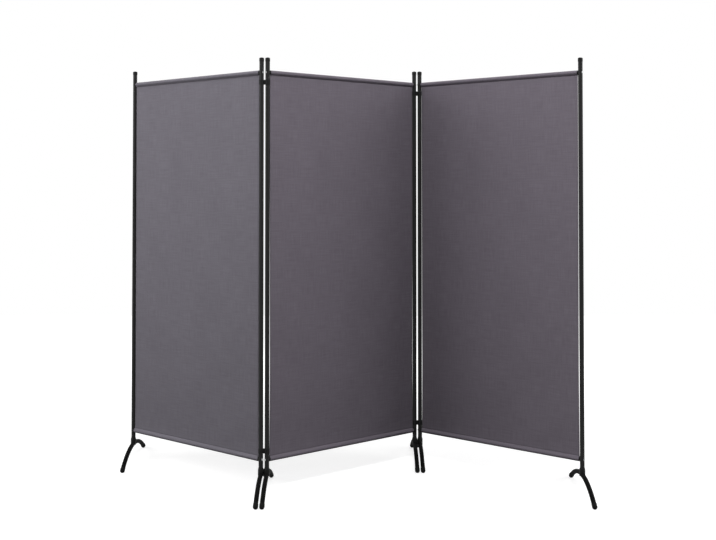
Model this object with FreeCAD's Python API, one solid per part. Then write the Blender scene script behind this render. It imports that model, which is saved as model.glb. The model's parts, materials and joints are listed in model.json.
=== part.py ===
import FreeCAD, Part
import math
import os

# Three-panel folding screen, in millimetres and degrees.
# +Z is up, the floor is Z = 0, and the Z axis runs through the middle of the centre panel.
# The hinge links lie along X and the feet along Y. The front is on the -Y side.
# From left to right the panels are left, centre and right, and each has a left and a right post.

# Overall size and stance
screen_height = 1800.0
panel_pitch = 843.0  # from post axis to post axis across one panel
fold_angle = 40.8  # from each panel to the hinge links

# Posts
post_diameter = 19.0
post_wall = 1.0
swage_length = 50.0
swage_clearance = 0.05
bolt_hole_clearance = 0.2

# Post caps
cap_wall = 0.7
cap_clearance = 0.05
cap_height = 17.0
cap_top_thickness = 3.0
cap_rounding = 4.5
cap_crown = 1.2

# Rails and the saddle-ended inserts in them
rail_diameter = 16.0
rail_wall = 1.0
insert_clearance = 0.05
insert_depth = 22.0
insert_rim = 0.5  # how far the insert's flange stands out past the rail
saddle_depth = 3.0  # how far the saddle wraps round the post
saddle_clearance = 0.05

# Bolts
bolt_diameter = 5.0
bolt_length = 40.0
bolt_clearance = 0.05
bolt_head_diameter = 9.0
bolt_head_height = 2.2
bolt_head_edge = 0.8
bolt_socket_width = 3.0  # across the flats of the hexagon
bolt_socket_depth = 1.2

# Fabric panels
fabric_thickness = 0.8
fabric_top_drop = 53.4  # from the top of the caps to the top hem
fabric_bottom_rise = 41.0  # from the foot of the posts to the bottom hem
fabric_clip_gap = 1.6  # from the hinge clips to the fabric's side edges
fabric_edge_bow = 2.6  # how far each side edge curves in at mid height
fabric_rail_gap = 0.4  # how far the rail shows past each end of its sleeve
sleeve_clearance = 0.3
seam_gap = 7.6  # from the inside of the sleeve, under the rail, to its seam

# Hinge clips
clip_height = 20.0
clip_wall = 1.3
clip_clearance = 0.1
clip_web_width = 8.0
clip_edge_chamfer = 0.4
top_clip_drop = 41.3  # from the top rail's axis to the clip's centre
bottom_clip_rise = 35.3  # from the bottom rail's axis to the clip's centre

# Feet
foot_tube_diameter = 19.0
foot_tube_wall = 1.2
foot_half_span = 236.0  # from the post axis to the centre of each tip
foot_arch_height = 74.0  # of the tube's axis under the post
tip_wall = 0.95
tip_clearance = 0.05
tip_grip = 14.0  # length of arch that the tip covers
tip_flat_depth = 0.3  # how much the tip's round end is flattened on the floor
spigot_clearance = 0.1
spigot_wall = 1.5
spigot_bolt_gap = 11.5  # from the top of the spigot to the bolt above it
weld_overlap = 0.5  # how deep the spigot's end goes into the arch's wall

# Foot collars
collar_wall = 2.5
collar_clearance = 0.1
collar_ledge = 2.5  # between the top of the arch and the foot of the post
collar_socket = 17.0  # how far the post goes into the collar
collar_skirt = 4.0  # how far the collar reaches below the arch's axis
collar_taper = 8.0
collar_top_rim = 0.6
saddle_gap = 0.05

# Between two neighbouring posts
neighbour_gap = 0.8

# Worked-out radii
post_radius = post_diameter / 2
post_bore = post_radius - post_wall
cap_radius = post_radius + cap_clearance + cap_wall
clip_bore = post_radius + clip_clearance
clip_radius = clip_bore + clip_wall
rail_radius = rail_diameter / 2
bolt_radius = bolt_diameter / 2
sleeve_inner_radius = rail_radius + sleeve_clearance
sleeve_radius = sleeve_inner_radius + fabric_thickness
arch_radius = foot_tube_diameter / 2
tip_bore = arch_radius + tip_clearance
tip_radius = tip_bore + tip_wall
collar_bore = post_radius + collar_clearance
collar_radius = collar_bore + collar_wall
spigot_radius = post_bore - spigot_clearance

# The paired posts stand as close as the widest piece round them allows
widest_radius = max(collar_radius, tip_radius, cap_radius, post_radius + bolt_head_height)
hinge_pitch = 2 * widest_radius + neighbour_gap

# Worked-out heights
tip_centre_height = tip_radius - tip_flat_depth
arch_rise = foot_arch_height - tip_centre_height
arch_bend_radius = (foot_half_span**2 + arch_rise**2) / (2 * arch_rise)
arch_end_angle = math.degrees(math.asin(foot_half_span / arch_bend_radius))
arch_centre_height = foot_arch_height - arch_bend_radius
post_foot_height = foot_arch_height + arch_radius + collar_ledge
post_top_height = screen_height - cap_top_thickness
post_joint_height = (post_foot_height + post_top_height) / 2
hem_top_height = screen_height - fabric_top_drop
hem_bottom_height = post_foot_height + fabric_bottom_rise
top_rail_height = hem_top_height - sleeve_radius
bottom_rail_height = hem_bottom_height + sleeve_radius
rail_heights = (bottom_rail_height, top_rail_height)
clip_heights = {
    "lower": bottom_rail_height + bottom_clip_rise,
    "upper": top_rail_height - top_clip_drop,
}
spigot_top_height = bottom_rail_height - bolt_radius - spigot_bolt_gap

# Worked-out lengths along a panel, from its own middle
post_offset = panel_pitch / 2
fabric_half_width = post_offset - clip_radius - fabric_clip_gap
rail_half_length = fabric_half_width + fabric_rail_gap

X_AXIS = FreeCAD.Vector(1, 0, 0)
Y_AXIS = FreeCAD.Vector(0, 1, 0)
Z_AXIS = FreeCAD.Vector(0, 0, 1)


def cylinder(radius, start, end):
    """A round bar from one point to another."""
    along = FreeCAD.Vector(*end) - FreeCAD.Vector(*start)
    return Part.makeCylinder(radius, along.Length, FreeCAD.Vector(*start), along)


def tube(outer_radius, inner_radius, bottom, top):
    """An upright tube round the Z axis."""
    outer = cylinder(outer_radius, (0, 0, bottom), (0, 0, top))
    return outer.cut(cylinder(inner_radius, (0, 0, bottom), (0, 0, top)))


def revolved(edges):
    """The solid that a closed outline in the XZ plane makes round the Z axis."""
    face = Part.Face(Part.Wire(edges))
    return face.revolve(FreeCAD.Vector(0, 0, 0), Z_AXIS, 360)


def line(start, end):
    return Part.LineSegment(FreeCAD.Vector(*start), FreeCAD.Vector(*end)).toShape()


def arc(start, middle, end):
    return Part.Arc(FreeCAD.Vector(*start), FreeCAD.Vector(*middle), FreeCAD.Vector(*end)).toShape()


def crown(edge_radius, edge_height, top_height):
    """An arc of a sphere on the Z axis, from its edge up to its top."""
    rise = top_height - edge_height
    sphere_radius = (edge_radius**2 + rise**2) / (2 * rise)
    half = edge_radius / 2
    middle = top_height - sphere_radius + math.sqrt(sphere_radius**2 - half**2)
    return arc((edge_radius, 0, edge_height), (half, 0, middle), (0, 0, top_height))


# Plan of the screen


def panel_frames():
    """Each panel's centre and direction on the floor, from its left post to its right post."""
    turn = math.radians(fold_angle)
    side = FreeCAD.Vector(panel_pitch * math.cos(turn) + hinge_pitch, 0, 0)
    return {
        "left": (FreeCAD.Vector(0, 0, 0) - side, -fold_angle),
        "centre": (FreeCAD.Vector(0, 0, 0), fold_angle),
        "right": (side, -fold_angle),
    }


def on_panel(shape, frame):
    """Moves a shape made along X about the origin to its panel."""
    centre, angle = frame
    placed = shape.copy()
    placed.rotate(FreeCAD.Vector(0, 0, 0), Z_AXIS, angle)
    placed.translate(centre)
    return placed


def post_point(frame, side):
    """The axis of a panel's left or right post on the floor."""
    centre, angle = frame
    sign = -1 if side == "left" else 1
    turn = math.radians(angle)
    return centre + FreeCAD.Vector(math.cos(turn), math.sin(turn), 0) * (sign * post_offset)


def at_post(shape, side):
    """Moves a shape made about the origin, with +X towards the rail, to an end of a panel."""
    placed = shape.copy()
    if side == "right":
        placed.rotate(FreeCAD.Vector(0, 0, 0), Z_AXIS, 180)
    placed.translate(X_AXIS * (-post_offset if side == "left" else post_offset))
    return placed


# Posts


def bolt_hole(height):
    """The hole across a post for a rail bolt."""
    reach = post_radius + post_wall
    return cylinder(bolt_radius + bolt_hole_clearance, (-reach, 0, height), (reach, 0, height))


def upper_post():
    body = tube(post_radius, post_bore, post_joint_height, post_top_height)
    return body.cut(bolt_hole(top_rail_height))


def lower_post():
    """The lower tube, with its top drawn in to a neck that goes up into the upper tube."""
    neck_radius = post_bore - swage_clearance
    neck_bore = neck_radius - post_wall
    neck_top = post_joint_height + swage_length
    outer = cylinder(post_radius, (0, 0, post_foot_height), (0, 0, post_joint_height))
    neck = cylinder(neck_radius, (0, 0, post_joint_height), (0, 0, neck_top))
    wide_bore_top = post_joint_height - post_wall
    bore = cylinder(post_bore, (0, 0, post_foot_height), (0, 0, wide_bore_top))
    neck_hole = cylinder(neck_bore, (0, 0, wide_bore_top), (0, 0, neck_top))
    return outer.fuse(neck).cut(bore.fuse(neck_hole)).cut(bolt_hole(bottom_rail_height)).removeSplitter()


def post_cap():
    """A thin skirt over the post's end with a rounded, slightly crowned top."""
    bottom = screen_height - cap_height
    shoulder = screen_height - cap_crown
    bore = post_radius + cap_clearance
    flat_radius = cap_radius - cap_rounding
    slant = cap_rounding * math.sqrt(0.5)
    turn_centre = shoulder - cap_rounding
    outline = [
        line((bore, 0, bottom), (cap_radius, 0, bottom)),
        line((cap_radius, 0, bottom), (cap_radius, 0, turn_centre)),
        arc(
            (cap_radius, 0, turn_centre),
            (flat_radius + slant, 0, turn_centre + slant),
            (flat_radius, 0, shoulder),
        ),
        crown(flat_radius, shoulder, screen_height),
        line((0, 0, screen_height), (0, 0, post_top_height)),
        line((0, 0, post_top_height), (bore, 0, post_top_height)),
        line((bore, 0, post_top_height), (bore, 0, bottom)),
    ]
    return revolved(outline)


# Rails, their inserts and bolts


def rail(height):
    outer = cylinder(rail_radius, (-rail_half_length, 0, height), (rail_half_length, 0, height))
    bore = rail_radius - rail_wall
    inner = cylinder(bore, (-rail_half_length, 0, height), (rail_half_length, 0, height))
    return outer.cut(inner)


def rail_insert(height):
    """A plug for a rail's end, with a flange hollowed to sit on the round post."""
    flange_end = post_offset - rail_half_length
    flange = cylinder(
        rail_radius + insert_rim,
        (post_radius - saddle_depth, 0, height),
        (flange_end, 0, height),
    )
    plug = cylinder(
        rail_radius - rail_wall - insert_clearance,
        (flange_end, 0, height),
        (flange_end + insert_depth, 0, height),
    )
    post = cylinder(
        post_radius + saddle_clearance,
        (0, 0, height - post_diameter),
        (0, 0, height + post_diameter),
    )
    bore = cylinder(
        bolt_radius + bolt_clearance,
        (0, 0, height),
        (flange_end + insert_depth, 0, height),
    )
    return flange.fuse(plug).cut(post).cut(bore).removeSplitter()


def bolt_head():
    """A low domed head standing on Z = 0, with a hexagon socket."""
    head_radius = bolt_head_diameter / 2
    outline = [
        line((0, 0, 0), (head_radius, 0, 0)),
        line((head_radius, 0, 0), (head_radius, 0, bolt_head_edge)),
        crown(head_radius, bolt_head_edge, bolt_head_height),
        line((0, 0, bolt_head_height), (0, 0, 0)),
    ]
    corner = bolt_socket_width / math.sqrt(3)
    sides = [math.radians(60 * step) for step in range(7)]
    ring = [FreeCAD.Vector(corner * math.cos(a), corner * math.sin(a), 0) for a in sides]
    socket = Part.Face(Part.makePolygon(ring)).extrude(Z_AXIS * bolt_head_height)
    socket.translate(Z_AXIS * (bolt_head_height - bolt_socket_depth))
    return revolved(outline).cut(socket)


def rail_bolt(height):
    """A bolt whose head bears on the side of the post that faces away from the rail."""
    shank = cylinder(bolt_radius, (0, 0, 0), (0, 0, -bolt_length))
    bolt = bolt_head().fuse(shank).removeSplitter()
    bolt.rotate(FreeCAD.Vector(0, 0, 0), Y_AXIS, -90)
    bolt.translate(FreeCAD.Vector(-post_radius, 0, height))
    return bolt


def four_corners(make):
    """One piece at each end of both rails of a panel, as separate solids."""
    pieces = [at_post(make(height), side) for height in rail_heights for side in ("left", "right")]
    return Part.makeCompound(pieces)


# Fabric


def teardrop(radius, point_distance, height, up):
    """A loop of fabric round a rail, drawn to a point. up is 1 where the point lies below the rail."""
    half = math.acos(radius / point_distance)
    side = radius * math.sin(half)
    drop = height - up * radius * math.cos(half)
    point = (-fabric_half_width, 0, height - up * point_distance)
    edges = [
        arc(
            (-fabric_half_width, -side, drop),
            (-fabric_half_width, 0, height + up * radius),
            (-fabric_half_width, side, drop),
        ),
        line((-fabric_half_width, side, drop), point),
        line(point, (-fabric_half_width, -side, drop)),
    ]
    return Part.Face(Part.Wire(edges)).extrude(X_AXIS * (2 * fabric_half_width))


def fabric_sheet(bottom, top):
    """The flat part of the panel, whose side edges curve in a little between the rails."""
    half = fabric_half_width
    waist = half - fabric_edge_bow
    middle = (bottom + top) / 2
    back = -fabric_thickness / 2
    edges = [
        line((-half, back, bottom), (half, back, bottom)),
        arc((half, back, bottom), (waist, back, middle), (half, back, top)),
        line((half, back, top), (-half, back, top)),
        arc((-half, back, top), (-waist, back, middle), (-half, back, bottom)),
    ]
    return Part.Face(Part.Wire(edges)).extrude(Y_AXIS * fabric_thickness)


def fabric_panel():
    """One sheet with a sleeve round each rail, closed by a seam."""
    seam_distance = sleeve_inner_radius + seam_gap
    # The outer loop is parallel to the inner one, so it draws to a point further out
    outer_distance = sleeve_radius * seam_distance / sleeve_inner_radius
    panel = fabric_sheet(bottom_rail_height + seam_distance, top_rail_height - seam_distance)
    for height, up in ((bottom_rail_height, -1), (top_rail_height, 1)):
        panel = panel.fuse(teardrop(sleeve_radius, outer_distance, height, up))
        panel = panel.cut(teardrop(sleeve_inner_radius, seam_distance, height, up))
    return panel.removeSplitter()


# Hinge clips


def hinge_clip(height):
    """Two rings joined by a web, round the pair of posts at X = 0 and X = hinge_pitch."""
    bottom = height - clip_height / 2
    top = height + clip_height / 2
    other = FreeCAD.Vector(hinge_pitch, 0, 0)
    ring = cylinder(clip_radius, (0, 0, bottom), (0, 0, top))
    second_ring = ring.copy()
    second_ring.translate(other)
    corner = FreeCAD.Vector(0, -clip_web_width / 2, bottom)
    web = Part.makeBox(hinge_pitch, clip_web_width, clip_height, corner)
    body = ring.fuse([second_ring, web]).removeSplitter()
    ends = [e for e in body.Edges if e.BoundBox.ZLength < 0.01]
    body = body.makeChamfer(clip_edge_chamfer, ends)
    bore = cylinder(clip_bore, (0, 0, bottom), (0, 0, top))
    second_bore = bore.copy()
    second_bore.translate(other)
    return body.cut(bore.fuse(second_bore))


# Feet


def bent_bar(radius, start_angle, end_angle):
    """Part of the arch's round bar, in the YZ plane, between two angles from the top of the bend."""
    turn = math.radians(start_angle)
    centre = FreeCAD.Vector(0, 0, arch_centre_height)
    out = FreeCAD.Vector(0, math.sin(turn), math.cos(turn))
    along = FreeCAD.Vector(0, math.cos(turn), -math.sin(turn))
    disc = Part.Face(Part.Wire(Part.makeCircle(radius, centre + out * arch_bend_radius, along)))
    return disc.revolve(centre, X_AXIS, start_angle - end_angle)


def foot_arch():
    """The bent tube, with the spigot for the post welded on top of it."""
    outer = bent_bar(arch_radius, -arch_end_angle, arch_end_angle)
    bore = bent_bar(arch_radius - foot_tube_wall, -arch_end_angle, arch_end_angle)
    spigot = tube(spigot_radius, spigot_radius - spigot_wall, foot_arch_height, spigot_top_height)
    spigot = spigot.cut(bent_bar(arch_radius - weld_overlap, -arch_end_angle, arch_end_angle))
    return outer.cut(bore).fuse(spigot).removeSplitter()


def foot_tip(end):
    """A cap on one end of the arch, flattened a little where it stands on the floor."""
    grip_angle = math.degrees(tip_grip / arch_bend_radius)
    first, last = sorted((end * arch_end_angle, end * (arch_end_angle - grip_angle)))
    centre = FreeCAD.Vector(0, end * foot_half_span, tip_centre_height)
    ball = Part.makeSphere(tip_radius, centre)
    skirt = bent_bar(tip_radius, first, last)
    tip = ball.fuse(skirt).cut(bent_bar(tip_bore, -arch_end_angle, arch_end_angle))
    size = 4 * tip_radius
    corner = FreeCAD.Vector(-size / 2, end * foot_half_span - size / 2, -size)
    return tip.cut(Part.makeBox(size, size, size, corner)).removeSplitter()


def foot_tips():
    return Part.makeCompound([foot_tip(-1), foot_tip(1)])


def foot_collar():
    """The sleeve that sits astride the arch, takes the post and holds up its end."""
    bottom = foot_arch_height - collar_skirt
    top = post_foot_height + collar_socket
    rim_radius = collar_bore + collar_top_rim
    outline = [
        line((0, 0, bottom), (collar_radius, 0, bottom)),
        line((collar_radius, 0, bottom), (collar_radius, 0, top - collar_taper)),
        line((collar_radius, 0, top - collar_taper), (rim_radius, 0, top)),
        line((rim_radius, 0, top), (0, 0, top)),
        line((0, 0, top), (0, 0, bottom)),
    ]
    socket = cylinder(collar_bore, (0, 0, post_foot_height), (0, 0, top))
    hole = cylinder(post_bore, (0, 0, bottom), (0, 0, post_foot_height))
    arch = bent_bar(arch_radius + saddle_gap, -arch_end_angle / 4, arch_end_angle / 4)
    return revolved(outline).cut(socket.fuse(hole)).cut(arch).removeSplitter()


# The whole screen


def panel_pieces(name, frame):
    """The pieces that turn with one panel, placed where they stand."""
    pieces = {}
    for side in ("left", "right"):
        pieces[f"{name}_panel_{side}_upper_post"] = at_post(upper_post(), side)
        pieces[f"{name}_panel_{side}_lower_post"] = at_post(lower_post(), side)
        pieces[f"{name}_panel_{side}_post_cap"] = at_post(post_cap(), side)
    pieces[f"{name}_panel_top_rail"] = rail(top_rail_height)
    pieces[f"{name}_panel_bottom_rail"] = rail(bottom_rail_height)
    pieces[f"{name}_panel_rail_inserts"] = four_corners(rail_insert)
    pieces[f"{name}_panel_rail_bolts"] = four_corners(rail_bolt)
    pieces[f"{name}_panel_fabric"] = fabric_panel()
    return {node: on_panel(shape, frame) for node, shape in pieces.items()}


def foot_pieces(name, side, point):
    """The pieces of the foot under one post. The feet stay square to the hinge links."""
    pieces = {
        f"{name}_panel_{side}_foot_arch": foot_arch(),
        f"{name}_panel_{side}_foot_collar": foot_collar(),
        f"{name}_panel_{side}_foot_tips": foot_tips(),
    }
    for shape in pieces.values():
        shape.translate(point)
    return pieces


def hinge_pieces(name, point):
    """The two clips round a pair of posts, of which the left one stands at point."""
    pieces = {}
    for level, height in clip_heights.items():
        clip = hinge_clip(height)
        clip.translate(point)
        pieces[f"{name}_hinge_{level}_clip"] = clip
    return pieces


def screen():
    frames = panel_frames()
    pieces = {}
    for name, frame in frames.items():
        pieces.update(panel_pieces(name, frame))
        for side in ("left", "right"):
            pieces.update(foot_pieces(name, side, post_point(frame, side)))
    pieces.update(hinge_pieces("left", post_point(frames["left"], "right")))
    pieces.update(hinge_pieces("right", post_point(frames["centre"], "right")))
    return pieces


os.makedirs("parts", exist_ok=True)
for node, shape in screen().items():
    shape.exportStep(f"parts/{node}.step")
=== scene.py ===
import json
import math

import bpy
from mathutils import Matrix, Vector, noise


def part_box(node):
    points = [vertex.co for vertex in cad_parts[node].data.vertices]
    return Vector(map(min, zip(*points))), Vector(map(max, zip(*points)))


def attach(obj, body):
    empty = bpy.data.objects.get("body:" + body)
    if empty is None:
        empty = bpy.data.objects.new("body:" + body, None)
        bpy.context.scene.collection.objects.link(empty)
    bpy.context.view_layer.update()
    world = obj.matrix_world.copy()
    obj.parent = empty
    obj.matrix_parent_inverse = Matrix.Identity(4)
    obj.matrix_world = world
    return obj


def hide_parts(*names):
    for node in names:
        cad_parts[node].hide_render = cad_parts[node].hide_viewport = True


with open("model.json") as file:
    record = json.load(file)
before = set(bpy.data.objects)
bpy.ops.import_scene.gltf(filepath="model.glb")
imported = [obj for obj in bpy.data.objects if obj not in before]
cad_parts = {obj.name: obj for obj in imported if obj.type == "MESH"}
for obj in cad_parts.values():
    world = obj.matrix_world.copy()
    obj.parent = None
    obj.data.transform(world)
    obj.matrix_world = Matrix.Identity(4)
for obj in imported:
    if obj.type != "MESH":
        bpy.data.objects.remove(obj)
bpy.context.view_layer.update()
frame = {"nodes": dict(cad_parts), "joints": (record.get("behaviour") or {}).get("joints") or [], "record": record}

# Three-panel fabric screen on black tube posts, in metres, with +Z up and its front towards -Y.

# Camera
IMAGE_WIDTH = 716
IMAGE_HEIGHT = 540
CAMERA_PLACE = (0.0552, -4.822, 1.255)
CAMERA_UPWARD = math.radians(1.392)
FOCAL_PIXELS = 1094.9
CENTRE_PIXEL = (357.6, 161.7)
SENSOR_MM = 36.0

# Light and surroundings
SKY_LOW = 0.0
SKY_HIGH = 0.48
SKY_GATHER = 3.0  # above 1 draws the sky light together overhead
SOFTBOXES = {
    "left_softbox": {"place": (-3.65, -1.31, 2.24), "size": (2.1, 2.2), "watts": 94.0},
    "right_softbox": {"place": (4.24, -1.42, 2.22), "size": (1.9, 2.2), "watts": 79.8},
    "top_softbox": {"place": (0.21, -2.72, 4.20), "size": (1.7, 0.55), "watts": 114.0},
    "rear_softbox": {"place": (0.60, 3.20, 2.30), "size": (3.0, 2.0), "watts": 60.0},
}
SOFTBOX_AIM = (0.0, 0.0, 1.0)
FLOOR_HALF = 6.0
FLOOR_SHOWN = 0.52
FLOOR_BOUNCE = 0.02
FLOOR_GLOW = 0.71
FLOOR_FADE = (1.3, 3.2)  # distances from the middle between which the floor turns fully white

# Cloth
CLOTH_THICKNESS = 0.0008
UPPER_SEAM_DROP = 0.0122
LOWER_SEAM_RISE = 0.0138
LAYER_OFFSET = 0.00045  # from the middle plane to each of the two layers at a seam
ALLOWANCE = 0.008
SEAM_EASE = 0.030  # over which the sheet comes back to the middle plane
SEAM_RIDGE = 0.00024  # how far the cloth swells beside the groove that the stitches draw in
SEAM_RIDGE_REACH = 0.0022
SIDE_HEM = 0.011
HEM_EXTRA = 0.0006
HEM_STEP = 0.0007
EDGE_BOW = 0.0016
BOW_SHAPE = 2.4  # above 1 puts the waist of the panel below mid height
PUCKER_HEIGHT = 0.0004
PUCKER_PEAK = 0.006
PUCKER_REACH = 0.020
PUCKER_WAVE = 0.027
PUCKER_DRIFT = 2.5  # how far the row of puckers wanders, in radians
PUCKER_DRIFT_RATE = 6.0
SLACK_HEIGHT = 0.0011
SLACK_WAVE = 0.42
SLACK_STRETCH = 2.2  # how much longer the slack waves are down the panel than across it
PANEL_SHIFT = 7.0  # moves the slack of each panel to another part of the noise
COLUMNS = 62
SHEET_ROWS = 84
FINE_ROWS = 10
SLEEVE_STEPS = 22
SLEEVE_RUN = (0.0, 0.05, 0.2, 0.6)  # shares of the straight run between a seam and its sleeve's curve

# Stitches
STITCH_PITCH = 0.0042
STITCH_SHARE = 0.84
STITCH_RADIUS = 0.00024
STITCH_SIDES = 5
HEM_STITCH_INSET = 0.0092
STITCH_SHAPE = (  # share of the length, rise in radii and relative thickness
    (0.0, -0.9, 0.35),
    (0.14, 0.1, 0.9),
    (0.5, 0.45, 1.0),
    (0.86, 0.1, 0.9),
    (1.0, -0.9, 0.35),
)

# Colours and texture
POST_COAT = {"depth": 0.0150, "rubbed": 0.0205, "speckle": 0.036, "roughness": (0.40, 0.50), "gloss": 0.10}
# The foot arches have the same black coat as the posts: their darker depth, rubbed and speckle colours are painted
# shade, and their higher roughness and lower gloss make the coat matt.
SHADED_ARCH_COAT = {"depth": 0.0045, "rubbed": 0.0070, "speckle": 0.012, "roughness": (0.78, 0.88), "gloss": 0.03}
PLASTIC_SHADES = (0.007, 0.0125)
RUBBER_SHADE = 0.008
DUST_SHADE = 0.020
DUST_HEIGHT = 0.006
ZINC_DULL = (0.30, 0.31, 0.33, 1.0)
ZINC_BRIGHT = (0.42, 0.42, 0.41, 1.0)
YARN_PITCH = 0.00052
# Painted shade in the folds above the seams: how far each fold reaches, and the colour factor at its seam.
UPPER_CREASE = 0.012
UPPER_CREASE_SHADE = 0.90
LOWER_CREASE = 0.0045
LOWER_CREASE_SHADE = 0.80
SLUB_CONTRAST = 0.15
CLOTH_WARP = (0.175, 0.160, 0.184)
CLOTH_WEFT = (0.167, 0.154, 0.178)
DYE_LOTS = {"left": (0.995, 1.015, 1.02), "centre": (1.005, 0.97, 1.0), "right": (1.005, 0.97, 1.0)}
THREAD_DARK = (0.070, 0.062, 0.072, 1.0)
THREAD_LIGHT = (0.125, 0.112, 0.128, 1.0)

PANELS = ("left", "centre", "right")
posts = {j["child"]: Vector(j["pos_m"]) for j in frame["joints"] if j["name"].endswith("_foot_turn")}


def make_camera():
    data = bpy.data.cameras.new("camera")
    data.sensor_width = SENSOR_MM
    data.lens = FOCAL_PIXELS * SENSOR_MM / IMAGE_WIDTH
    data.shift_x = (IMAGE_WIDTH / 2 - CENTRE_PIXEL[0]) / IMAGE_WIDTH
    data.shift_y = (CENTRE_PIXEL[1] - IMAGE_HEIGHT / 2) / IMAGE_WIDTH
    camera = bpy.data.objects.new("camera", data)
    camera.location = CAMERA_PLACE
    camera.rotation_euler = (math.pi / 2 + CAMERA_UPWARD, 0, 0)
    bpy.context.scene.collection.objects.link(camera)
    bpy.context.scene.camera = camera


class Nodes:
    """Short ways to write a node tree."""

    def __init__(self, tree):
        self.tree = tree
        self.tree.nodes.clear()

    def add(self, kind, **settings):
        node = self.tree.nodes.new(kind)
        for name, value in settings.items():
            setattr(node, name, value)
        return node

    def feed(self, socket, value):
        """Links an output to a socket, or sets a plain value on it."""
        if isinstance(value, bpy.types.NodeSocket):
            self.tree.links.new(value, socket)
        else:
            socket.default_value = value

    def math(self, operation, *values):
        node = self.add("ShaderNodeMath", operation=operation)
        for socket, value in zip(node.inputs, values):
            self.feed(socket, value)
        return node.outputs[0]

    def scaled(self, vector, factors):
        node = self.add("ShaderNodeVectorMath", operation="MULTIPLY")
        self.feed(node.inputs[0], vector)
        self.feed(node.inputs[1], factors)
        return node.outputs[0]

    def noise(self, vector, scale, detail=2.0):
        node = self.add("ShaderNodeTexNoise")
        self.feed(node.inputs["Vector"], vector)
        self.feed(node.inputs["Scale"], scale)
        self.feed(node.inputs["Detail"], detail)
        return node.outputs["Fac"]

    def remap(self, value, low, high, start=0.0, end=1.0):
        node = self.add("ShaderNodeMapRange")
        self.feed(node.inputs["Value"], value)
        self.feed(node.inputs["From Min"], start)
        self.feed(node.inputs["From Max"], end)
        self.feed(node.inputs["To Min"], low)
        self.feed(node.inputs["To Max"], high)
        return node.outputs["Result"]

    def mixed(self, share, first, second):
        node = self.add("ShaderNodeMix", data_type="RGBA")
        factor, colours = node.inputs[0], node.inputs[6:8]
        self.feed(factor, share)
        self.feed(colours[0], first)
        self.feed(colours[1], second)
        return node.outputs[2]

    def bump(self, height, distance, strength=1.0):
        node = self.add("ShaderNodeBump")
        self.feed(node.inputs["Height"], height)
        self.feed(node.inputs["Distance"], distance)
        self.feed(node.inputs["Strength"], strength)
        return node.outputs["Normal"]

    def object_place(self):
        return self.add("ShaderNodeTexCoord").outputs["Object"]

    def surface(self, **values):
        """A Principled surface wired to the material's output."""
        shader = self.add("ShaderNodeBsdfPrincipled")
        for name, value in values.items():
            self.feed(shader.inputs[name.replace("_", " ")], value)
        output = self.add("ShaderNodeOutputMaterial")
        self.feed(output.inputs["Surface"], shader.outputs[0])


def new_material(name):
    material = bpy.data.materials.new(name)
    material.use_nodes = True
    return material, Nodes(material.node_tree)


def grey(level, tint=(1.0, 1.0, 1.0)):
    return (level * tint[0], level * tint[1], level * tint[2], 1.0)


def powder_coat(name, coat):
    """Black powder coat: fine orange peel, a few dull rubbed patches."""
    material, nodes = new_material(name)
    place = nodes.object_place()
    patches = nodes.remap(nodes.noise(place, 7.0, 4.0), 0.0, 1.0, 0.52, 0.75)
    peel = nodes.noise(place, 620.0, 2.0)
    speckle = nodes.remap(nodes.noise(place, 2100.0, 1.0), 0.0, 1.0, 0.62, 0.78)
    colour = nodes.mixed(patches, grey(coat["depth"]), grey(coat["rubbed"]))
    colour = nodes.mixed(nodes.math("MULTIPLY", speckle, 0.35), colour, grey(coat["speckle"]))
    nodes.surface(
        Base_Color=colour,
        Roughness=nodes.remap(patches, *coat["roughness"]),
        Normal=nodes.bump(peel, 0.00012, 0.6),
        Specular_IOR_Level=coat["gloss"],
    )
    return material


def moulded_plastic():
    """Black nylon with the fine spark-eroded texture of its mould."""
    material, nodes = new_material("black_moulded_plastic")
    place = nodes.object_place()
    grain = nodes.noise(place, 1500.0, 3.0)
    cloud = nodes.noise(place, 24.0, 2.0)
    nodes.surface(
        Base_Color=nodes.mixed(cloud, *map(grey, PLASTIC_SHADES)),
        Roughness=nodes.remap(cloud, 0.46, 0.60),
        Normal=nodes.bump(grain, 0.00010, 0.7),
        Specular_IOR_Level=0.10,
    )
    return material


def tip_rubber():
    """Dull rubber, greyed by floor dust close to the ground."""
    material, nodes = new_material("black_rubber")
    place = nodes.object_place()
    height = nodes.add("ShaderNodeSeparateXYZ")
    nodes.feed(height.inputs[0], place)
    low = nodes.remap(height.outputs[2], 1.0, 0.0, 0.0, DUST_HEIGHT)
    patch = nodes.remap(nodes.noise(place, 260.0, 4.0), 0.0, 1.0, 0.38, 0.66)
    dusty = nodes.math("MULTIPLY", low, patch)
    nodes.surface(
        Base_Color=nodes.mixed(dusty, grey(RUBBER_SHADE), grey(DUST_SHADE, (1.0, 0.97, 0.92))),
        Roughness=nodes.remap(patch, 0.72, 0.86),
        Normal=nodes.bump(nodes.noise(place, 900.0, 2.0), 0.00012, 0.8),
        Specular_IOR_Level=0.08,
    )
    return material


def zinc_plate():
    """Bright zinc with a faint clouded lustre and fine turning marks."""
    material, nodes = new_material("zinc_plate")
    place = nodes.object_place()
    cloud = nodes.noise(place, 420.0, 3.0)
    marks = nodes.noise(nodes.scaled(place, (900.0, 900.0, 5200.0)), 1.0, 1.0)
    nodes.surface(
        Base_Color=nodes.mixed(cloud, ZINC_DULL, ZINC_BRIGHT),
        Metallic=1.0,
        Roughness=nodes.remap(cloud, 0.24, 0.40),
        Normal=nodes.bump(marks, 0.00003, 0.5),
    )
    return material


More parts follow.
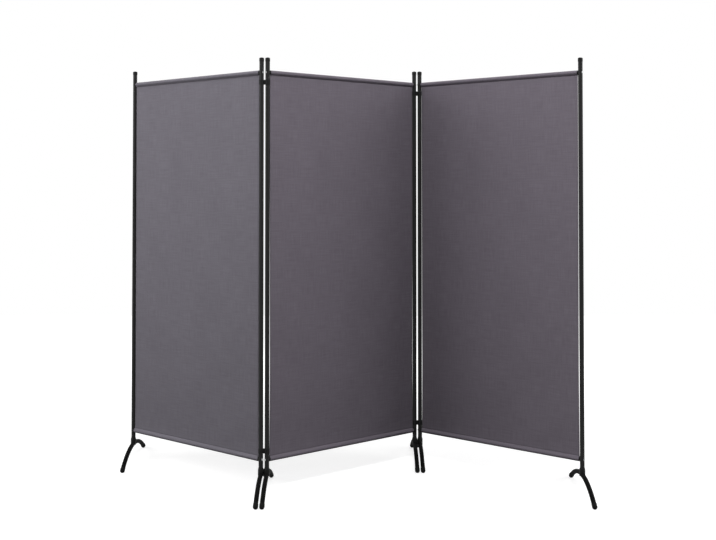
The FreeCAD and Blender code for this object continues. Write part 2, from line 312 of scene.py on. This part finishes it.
def weave_height(nodes, across, down, pitch):
    """Height of a plain weave, and 1 where the yarn that runs down lies on top."""
    warp = nodes.math("SINE", nodes.math("MULTIPLY", across, math.pi / pitch))
    weft = nodes.math("SINE", nodes.math("MULTIPLY", down, math.pi / pitch))
    crossing = nodes.math("MULTIPLY", warp, weft)
    warp_top = nodes.math("ADD", nodes.math("ABSOLUTE", warp), crossing)
    weft_top = nodes.math("SUBTRACT", nodes.math("ABSOLUTE", weft), crossing)
    height = nodes.math("MAXIMUM", warp_top, weft_top)
    return height, nodes.math("GREATER_THAN", warp_top, weft_top)


def crease_shade(nodes, seam, reach, shade):
    """Painted shade: a colour factor of 1 on open cloth, and less in the fold that rises from a seam."""
    height = nodes.add("ShaderNodeSeparateXYZ")
    nodes.feed(height.inputs[0], nodes.object_place())
    fold = nodes.remap(height.outputs[2], 1.0, 0.0, seam, seam + reach)
    above = nodes.math("GREATER_THAN", height.outputs[2], seam - SEAM_RIDGE_REACH / 2)
    return nodes.remap(nodes.math("MULTIPLY", fold, above), 1.0, shade)


def cloth_material(name, tint, upper_seam, lower_seam):
    """Mauve-grey polyester in plain weave, with slubs along both yarns, and painted shade in the folds above both
    seams.
    """
    material, nodes = new_material(f"{name}_woven_polyester")
    warp = tuple(level * share for level, share in zip(CLOTH_WARP, tint)) + (1.0,)
    weft = tuple(level * share for level, share in zip(CLOTH_WEFT, tint)) + (1.0,)
    place = nodes.add("ShaderNodeUVMap", uv_map="weave").outputs[0]
    split = nodes.add("ShaderNodeSeparateXYZ")
    nodes.feed(split.inputs[0], place)
    height, on_top = weave_height(nodes, split.outputs[0], split.outputs[1], YARN_PITCH)
    down_slubs = nodes.noise(nodes.scaled(place, (260.0, 14.0, 1.0)), 1.0, 3.0)
    across_slubs = nodes.noise(nodes.scaled(place, (12.0, 240.0, 1.0)), 1.0, 3.0)
    fibres = nodes.noise(place, 2600.0, 2.0)
    cloud = nodes.noise(place, 5.0, 3.0)
    yarns = nodes.mixed(on_top, weft, warp)
    slubs = nodes.math("ADD", down_slubs, across_slubs)
    shade = nodes.remap(slubs, 1.0 - SLUB_CONTRAST, 1.0 + SLUB_CONTRAST, 0.6, 1.4)
    shade = nodes.math("MULTIPLY", shade, nodes.remap(cloud, 0.97, 1.03, 0.3, 0.7))
    shade = nodes.math("MULTIPLY", shade, nodes.remap(fibres, 0.93, 1.07, 0.3, 0.7))
    # Painted shade: the colour is darkened in the folds above both seams.
    upper_fold_shade = crease_shade(nodes, upper_seam, UPPER_CREASE, UPPER_CREASE_SHADE)
    lower_fold_shade = crease_shade(nodes, lower_seam, LOWER_CREASE, LOWER_CREASE_SHADE)
    shade = nodes.math("MULTIPLY", nodes.math("MULTIPLY", shade, upper_fold_shade), lower_fold_shade)
    shaded = nodes.add("ShaderNodeVectorMath", operation="SCALE")
    nodes.feed(shaded.inputs[0], yarns)
    nodes.feed(shaded.inputs["Scale"], shade)
    nodes.surface(
        Base_Color=shaded.outputs[0],
        Roughness=nodes.remap(fibres, 0.80, 0.92),
        Normal=nodes.bump(nodes.math("ADD", height, fibres), 0.00009, 0.7),
        Specular_IOR_Level=0.06,
        Sheen_Weight=0.03,
        Sheen_Roughness=0.45,
    )
    return material


def thread_material():
    """Twisted polyester thread, a shade darker than the cloth."""
    material, nodes = new_material("sewing_thread")
    place = nodes.object_place()
    twist = nodes.noise(nodes.scaled(place, (1.0, 1.0, 2.2)), 3400.0, 1.0)
    nodes.surface(
        Base_Color=nodes.mixed(twist, THREAD_DARK, THREAD_LIGHT),
        Roughness=nodes.remap(twist, 0.55, 0.72),
        Normal=nodes.bump(twist, 0.00005, 0.8),
        Specular_IOR_Level=0.35,
    )
    return material


def finish_nodes(finishes, shaded_arch_finish):
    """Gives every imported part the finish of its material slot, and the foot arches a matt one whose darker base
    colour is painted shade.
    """
    for part in frame["record"]["subparts"]:
        finish = finishes[part["material_slot"]]
        if part["node"].endswith("_foot_arch"):
            finish = shaded_arch_finish
        for slot in frame["nodes"][part["node"]].material_slots:
            slot.material = finish


class Panel:
    """One panel's own directions, and the sizes of its packed cloth and rails."""

    def __init__(self, name):
        self.name = f"{name}_panel"
        self.number = PANELS.index(name)
        start, end = (posts[f"{self.name}_{side}_foot"] for side in ("left", "right"))
        self.along = (end - start).normalized()
        self.front = Vector((self.along.y, -self.along.x, 0.0))
        self.middle = (start + end) / 2
        cloth = frame["nodes"][f"{self.name}_fabric"].data.vertices
        self.half_width = max((v.co - self.middle).dot(self.along) for v in cloth)
        low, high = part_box(f"{self.name}_fabric")
        self.top = self.rail_height("top")
        self.bottom = self.rail_height("bottom")
        self.sleeve = high.z - self.top - CLOTH_THICKNESS / 2
        self.seams = (self.top - UPPER_SEAM_DROP, self.bottom + LOWER_SEAM_RISE)

    def rail_height(self, level):
        low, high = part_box(f"{self.name}_{level}_rail")
        return (low.z + high.z) / 2

    def point(self, across, out, height):
        flat = self.middle + self.along * across + self.front * out
        return flat + Vector((0.0, 0.0, height))

    def fall(self, height):
        """0 at the upper seam and 1 at the lower one."""
        upper, lower = self.seams
        return min(1.0, max(0.0, (upper - height) / (upper - lower)))

    def bowed(self, across, height):
        """Pulls the side edges in along a slack curve."""
        bow = EDGE_BOW * math.sin(math.pi * self.fall(height) ** BOW_SHAPE)
        return across * (1 - bow / self.half_width)

    def swell(self, across, height):
        """How far the taut sheet stands off its middle plane: soft slack and puckers by the seams."""
        fall = self.fall(height)
        if not 0 < fall < 1:
            return 0.0
        shift = PANEL_SHIFT * self.number
        place = Vector((across / SLACK_WAVE, height / (SLACK_STRETCH * SLACK_WAVE), shift))
        slack = SLACK_HEIGHT * noise.noise(place) * math.sin(math.pi * fall)
        depth = min(abs(height - seam) for seam in self.seams)
        rise = min(1.0, depth / PUCKER_PEAK) * math.exp(-depth / PUCKER_REACH)
        drift = PUCKER_DRIFT * noise.noise(Vector((across * PUCKER_DRIFT_RATE, 3.0, 0.0)))
        pucker = PUCKER_HEIGHT * rise * math.sin(2 * math.pi * across / PUCKER_WAVE + drift)
        return slack + pucker


def sleeve_path(axis_height, radius, reach, way):
    """The cloth's middle line round a rail, from the end of its allowance to its front seam.

    It is a list of (out, height). reach is how far the seam lies from the rail's axis.
    way is 1 for a sleeve over a top rail and -1 under a bottom rail.
    """
    lean = math.asin(radius / reach)
    seam_height = axis_height - way * reach
    allowance = [(-LAYER_OFFSET, seam_height - way * ALLOWANCE * share) for share in (1.0, 0.5)]
    arc = []
    for step in range(SLEEVE_STEPS + 1):
        turn = math.pi + lean - (math.pi + 2 * lean) * step / SLEEVE_STEPS
        arc.append((radius * math.cos(turn), axis_height + way * radius * math.sin(turn)))
    rise = straight_run((-LAYER_OFFSET, seam_height), arc[0])
    fall = straight_run((LAYER_OFFSET, seam_height), arc[-1])
    return allowance + rise + arc + fall[::-1]


def straight_run(seam, tangent):
    """Points from a seam to where the cloth meets the curve, closer together by the seam."""
    points = []
    for share in SLEEVE_RUN:
        points.append(tuple(start + (end - start) * share for start, end in zip(seam, tangent)))
    return points


def stand_off(depth):
    """How far the sheet stands in front of its middle plane at a depth from a seam."""
    share = min(1.0, depth / SEAM_EASE)
    ease = 1 - share * share * (3 - 2 * share)
    ridge = depth / SEAM_RIDGE_REACH * math.exp(1 - depth / SEAM_RIDGE_REACH)
    return LAYER_OFFSET * ease + SEAM_RIDGE * ridge


def sheet_path(panel):
    """The flat stretch between the seams, with closer rows beside them."""
    upper, lower = panel.seams
    depths = [SEAM_EASE * (step / FINE_ROWS) ** 2 for step in range(1, FINE_ROWS + 1)]
    first, last = upper - SEAM_EASE, lower + SEAM_EASE
    rows = [upper - depth for depth in depths]
    rows += [first + (last - first) * step / SHEET_ROWS for step in range(1, SHEET_ROWS)]
    rows += [lower + depth for depth in reversed(depths)]
    return [(stand_off(min(upper - height, height - lower)), height) for height in rows]


def cloth_path(panel):
    top = sleeve_path(panel.top, panel.sleeve, UPPER_SEAM_DROP, 1)
    bottom = sleeve_path(panel.bottom, panel.sleeve, LOWER_SEAM_RISE, -1)
    return top + sheet_path(panel) + bottom[::-1]


def path_normals(path):
    """Unit normals of the path that point out of the front of the sheet."""
    normals = []
    for index in range(len(path)):
        before = Vector(path[max(0, index - 1)])
        after = Vector(path[min(len(path) - 1, index + 1)])
        step = (after - before).normalized()
        normals.append(Vector((-step.y, step.x)))
    return normals


def path_lengths(path):
    lengths = [0.0]
    for before, after in zip(path, path[1:]):
        lengths.append(lengths[-1] + (Vector(after) - Vector(before)).length)
    return lengths


def column_places(half):
    """Places across the sheet, with a small step where each side hem ends."""
    inner = half - SIDE_HEM
    middle = [-inner + 2 * inner * step / COLUMNS for step in range(COLUMNS + 1)]
    edge = [-half, -half + SIDE_HEM / 2, -inner - HEM_STEP]
    return edge + middle + [-place for place in reversed(edge)]


def mesh_piece(name, points, faces, body, finish):
    mesh = bpy.data.meshes.new(name)
    mesh.from_pydata([tuple(p) for p in points], [], faces)
    mesh.polygons.foreach_set("use_smooth", [True] * len(mesh.polygons))
    mesh.materials.append(finish)
    mesh.update()
    piece = bpy.data.objects.new(name, mesh)
    bpy.context.scene.collection.objects.link(piece)
    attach(piece, body)
    return piece


def make_cloth(panel, finish):
    """One length of cloth: sleeve over the top rail, sheet, sleeve under the bottom rail."""
    path = cloth_path(panel)
    normals = path_normals(path)
    lengths = path_lengths(path)
    places = column_places(panel.half_width)
    upper, lower = panel.seams
    points, coordinates = [], []
    for side in (1, -1):
        for place in places:
            hemmed = side < 0 and abs(place) > panel.half_width - SIDE_HEM
            for (out, height), normal, length in zip(path, normals, lengths):
                on_sheet = lower < height < upper and out >= 0
                swell = panel.swell(place, height) if on_sheet else 0.0
                lift = side * (CLOTH_THICKNESS / 2 + (HEM_EXTRA if hemmed and on_sheet else 0.0))
                across = panel.bowed(place, height)
                points.append(panel.point(across, out + swell + lift * normal.x, height + lift * normal.y))
                coordinates.append((place, -length))
    rows, count = len(path), len(path) * len(places)
    faces = []
    for column in range(len(places) - 1):
        for row in range(rows - 1):
            a = column * rows + row
            quad = (a, a + 1, a + rows + 1, a + rows)
            faces.append(quad)
            faces.append(tuple(count + corner for corner in reversed(quad)))
    for column in (0, len(places) - 1):
        for row in range(rows - 1):
            a = column * rows + row
            quad = (a + 1, a, count + a, count + a + 1)
            faces.append(quad if column == 0 else tuple(reversed(quad)))
    for row in (0, rows - 1):
        for column in range(len(places) - 1):
            a = column * rows + row
            quad = (a, a + rows, count + a + rows, count + a)
            faces.append(quad if row == 0 else tuple(reversed(quad)))
    piece = mesh_piece(f"{panel.name}_cloth", points, faces, panel.name, finish)
    layer = piece.data.uv_layers.new(name="weave")
    for loop in piece.data.loops:
        layer.data[loop.index].uv = coordinates[loop.vertex_index]
    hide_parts(f"{panel.name}_fabric")
    return piece, lengths[-1]


def add_stitch(points, faces, start, end, lift):
    """A short arched length of thread that dips into the cloth at both ends."""
    run = end - start
    sideways = run.normalized().cross(lift.normalized())
    rings = []
    for share, rise, size in STITCH_SHAPE:
        centre = start + run * share + lift * rise
        ring = []
        for corner in range(STITCH_SIDES):
            turn = 2 * math.pi * corner / STITCH_SIDES
            offset = lift * math.cos(turn) + sideways * STITCH_RADIUS * math.sin(turn)
            ring.append(len(points))
            points.append(centre + offset * size)
        rings.append(ring)
    for ring, following in zip(rings, rings[1:]):
        for corner in range(STITCH_SIDES):
            after = (corner + 1) % STITCH_SIDES
            faces.append((ring[corner], ring[after], following[after], following[corner]))
    faces.append(tuple(reversed(rings[0])))
    faces.append(tuple(rings[-1]))


def make_stitching(panel, finish):
    """Lockstitch rows along both seams and both side hems, on the front and the back."""
    points, faces = [], []
    upper, lower = panel.seams
    for side in (1, -1):
        lift = panel.front * side * STITCH_RADIUS
        for seam in panel.seams:
            out = side * (LAYER_OFFSET + CLOTH_THICKNESS / 2)
            run = 2 * (panel.half_width - SIDE_HEM / 2)
            for index in range(int(run / STITCH_PITCH)):
                across = -run / 2 + (index + 0.5) * STITCH_PITCH
                half = STITCH_PITCH * STITCH_SHARE / 2
                start = panel.point(across - half, out, seam)
                add_stitch(points, faces, start, panel.point(across + half, out, seam), lift)
        for edge in (-1, 1):
            across = edge * (panel.half_width - HEM_STITCH_INSET)
            thick = CLOTH_THICKNESS / 2 + (HEM_EXTRA if side < 0 else 0.0)
            for index in range(int((upper - lower - 2 * STITCH_PITCH) / STITCH_PITCH)):
                ends = []
                for share in (0.5 - STITCH_SHARE / 2, 0.5 + STITCH_SHARE / 2):
                    height = upper - STITCH_PITCH * (index + 1 + share)
                    depth = min(upper - height, height - lower)
                    out = stand_off(depth) + panel.swell(across, height) + side * thick
                    ends.append(panel.point(panel.bowed(across, height), out, height))
                add_stitch(points, faces, ends[0], ends[1], lift)
    return mesh_piece(f"{panel.name}_stitching", points, faces, panel.name, finish)


def seen_directly(nodes):
    """1 for rays from the camera, a mirror or glass, and 0 for those that light the object."""
    path = nodes.add("ShaderNodeLightPath").outputs
    seen = nodes.math("MAXIMUM", path["Is Camera Ray"], path["Is Glossy Ray"])
    return nodes.math("MAXIMUM", seen, path["Is Transmission Ray"])


def make_floor():
    """Pale floor that keeps the soft shadow and meets the white surroundings."""
    corners = [(x * FLOOR_HALF, y * FLOOR_HALF, 0.0) for x, y in ((-1, -1), (1, -1), (1, 1), (-1, 1))]
    mesh = bpy.data.meshes.new("floor")
    mesh.from_pydata(corners, [], [(0, 1, 2, 3)])
    material, nodes = new_material("pale_floor")
    mesh.materials.append(material)
    floor = bpy.data.objects.new("floor", mesh)
    bpy.context.scene.collection.objects.link(floor)
    seen = seen_directly(nodes)
    matt = nodes.add("ShaderNodeBsdfDiffuse")
    nodes.feed(matt.inputs["Color"], nodes.mixed(seen, grey(FLOOR_BOUNCE), grey(FLOOR_SHOWN)))
    glow = nodes.add("ShaderNodeEmission")
    reach = nodes.add("ShaderNodeVectorMath", operation="LENGTH")
    nodes.feed(reach.inputs[0], nodes.object_place())
    level = nodes.remap(reach.outputs["Value"], FLOOR_GLOW, 1.0, *FLOOR_FADE)
    nodes.feed(glow.inputs["Strength"], nodes.math("MULTIPLY", seen, level))
    both = nodes.add("ShaderNodeAddShader")
    nodes.feed(both.inputs[0], matt.outputs[0])
    nodes.feed(both.inputs[1], glow.outputs[0])
    output = nodes.add("ShaderNodeOutputMaterial")
    nodes.feed(output.inputs["Surface"], both.outputs[0])


def make_surroundings():
    """White to look at, and a soft sky light that is stronger overhead."""
    world = bpy.data.worlds.new("studio")
    bpy.context.scene.world = world
    world.use_nodes = True
    nodes = Nodes(world.node_tree)
    split = nodes.add("ShaderNodeSeparateXYZ")
    nodes.feed(split.inputs[0], nodes.add("ShaderNodeTexCoord").outputs["Generated"])
    overhead = nodes.math("POWER", nodes.math("MAXIMUM", split.outputs[2], 0.0), SKY_GATHER)
    light = nodes.remap(overhead, SKY_LOW, SKY_HIGH)
    shown = nodes.math("MAXIMUM", light, seen_directly(nodes))
    background = nodes.add("ShaderNodeBackground")
    nodes.feed(background.inputs["Color"], grey(1.0))
    nodes.feed(background.inputs["Strength"], shown)
    output = nodes.add("ShaderNodeOutputWorld")
    nodes.feed(output.inputs["Surface"], background.outputs[0])


def make_softbox(name, place, size, watts):
    data = bpy.data.lights.new(name, "AREA")
    data.shape = "RECTANGLE"
    data.size, data.size_y = size
    data.energy = watts
    lamp = bpy.data.objects.new(name, data)
    lamp.location = place
    lamp.rotation_euler = (Vector(SOFTBOX_AIM) - Vector(place)).to_track_quat("-Z", "Y").to_euler()
    lamp.visible_camera = False
    bpy.context.scene.collection.objects.link(lamp)


def make_screen():
    panels = {name: Panel(name) for name in PANELS}
    cloth_finishes = {}
    for name, panel in panels.items():
        cloth_finishes[name] = cloth_material(name, DYE_LOTS[name], *panel.seams)
    thread_finish = thread_material()
    finishes = {
        "black_steel": powder_coat("black_powder_coat", POST_COAT),
        "black_plastic": moulded_plastic(),
        "black_rubber": tip_rubber(),
        "zinc_steel": zinc_plate(),
        "grey_fabric": cloth_finishes["centre"],
    }
    # The arches' darker copy of the coat is painted shade.
    finish_nodes(finishes, powder_coat("matt_shaded_black_powder_coat", SHADED_ARCH_COAT))
    for name, panel in panels.items():
        cloth, length = make_cloth(panel, cloth_finishes[name])
        stitching = make_stitching(panel, thread_finish)


bpy.context.scene.view_settings.view_transform = "Standard"
make_camera()
make_surroundings()
make_floor()
for name, settings in SOFTBOXES.items():
    make_softbox(name, **settings)
make_screen()
